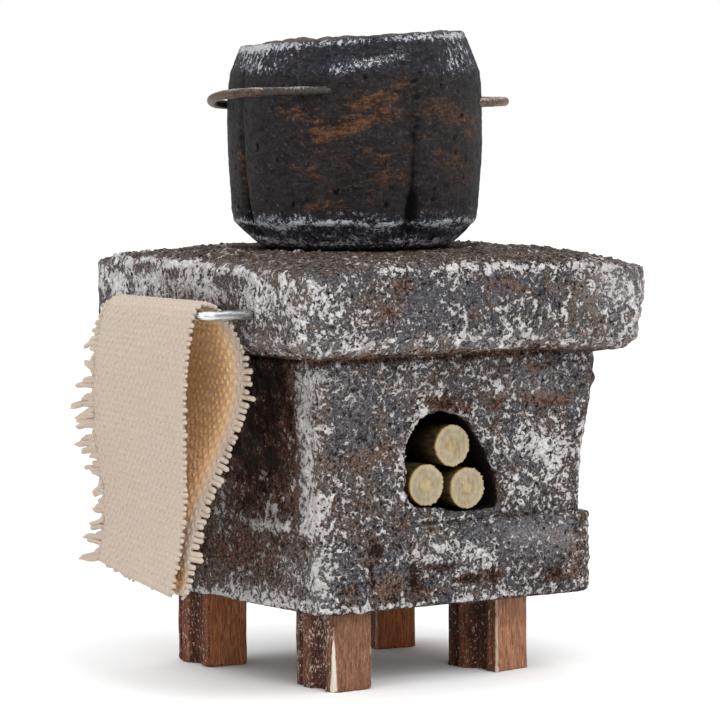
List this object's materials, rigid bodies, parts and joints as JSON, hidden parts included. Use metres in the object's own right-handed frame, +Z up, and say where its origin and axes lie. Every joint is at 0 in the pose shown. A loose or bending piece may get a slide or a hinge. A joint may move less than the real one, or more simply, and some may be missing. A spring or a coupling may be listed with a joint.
{
  "type": "miniature wood-fired oven",
  "caption": "Miniature wood-fired stove: plastered block body with a fire niche and firewood, overhanging slab, short legs, lidless pot and a towel on a wire rail.",
  "frame": {"origin": "on the floor, under the middle of the whole object's bounding box", "axes": "+Z up; the fire opening faces -Y; the towel hangs on the -X side"},
  "size_m": [0.0493, 0.0392, 0.0625],
  "materials": {
    "plaster": "rough stucco, dry-brushed white over grey and brown",
    "leg_wood": "red-brown stain, sawn",
    "log_wood": "raw sawn dowel",
    "pot_black": "matt charcoal paint with rust-coloured washes",
    "pot_fill": "lumpy matt brown",
    "handle_wire": "dark worn paint on wire",
    "rail_wire": "bright drawn wire",
    "canvas": "undyed plain-weave cotton, frayed edges"
  },
  "bodies": {
    "stove": {"base_course": "plaster", "hearth_body": "plaster", "top_slab": "plaster", "leg_front_left": "leg_wood", "leg_front_right": "leg_wood", "leg_rear_left": "leg_wood", "leg_rear_right": "leg_wood", "towel_rail": "rail_wire"},
    "pot": {"pot_shell": "pot_black", "pot_contents": "pot_fill", "pot_handle_left": "handle_wire", "pot_handle_right": "handle_wire"},
    "stick_lower_left": {"log_lower_left": "log_wood"},
    "stick_lower_right": {"log_lower_right": "log_wood"},
    "stick_upper": {"log_upper": "log_wood"},
    "hanging_towel": {"towel": "canvas"}
  },
  "joints": [
    {"name": "pot_lift", "type": "slide", "parent": "stove", "child": "pot", "axis": [0, 0, 1], "range_m": [0, 0.03]},
    {"name": "stick_lower_left_pull", "type": "slide", "parent": "stove", "child": "stick_lower_left", "axis": [0, -1, 0], "range_m": [0, 0.016]},
    {"name": "stick_lower_right_pull", "type": "slide", "parent": "stove", "child": "stick_lower_right", "axis": [0, -1, 0], "range_m": [0, 0.016]},
    {"name": "stick_upper_pull", "type": "slide", "parent": "stove", "child": "stick_upper", "axis": [0, -1, 0], "range_m": [0, 0.016]},
    {"name": "towel_swing", "type": "hinge", "parent": "stove", "child": "hanging_towel", "pos_m": [-0.02105, -0.0011, 0.03585], "axis": [0, 1, 0], "range_deg": [-6, 80]}
  ]
}
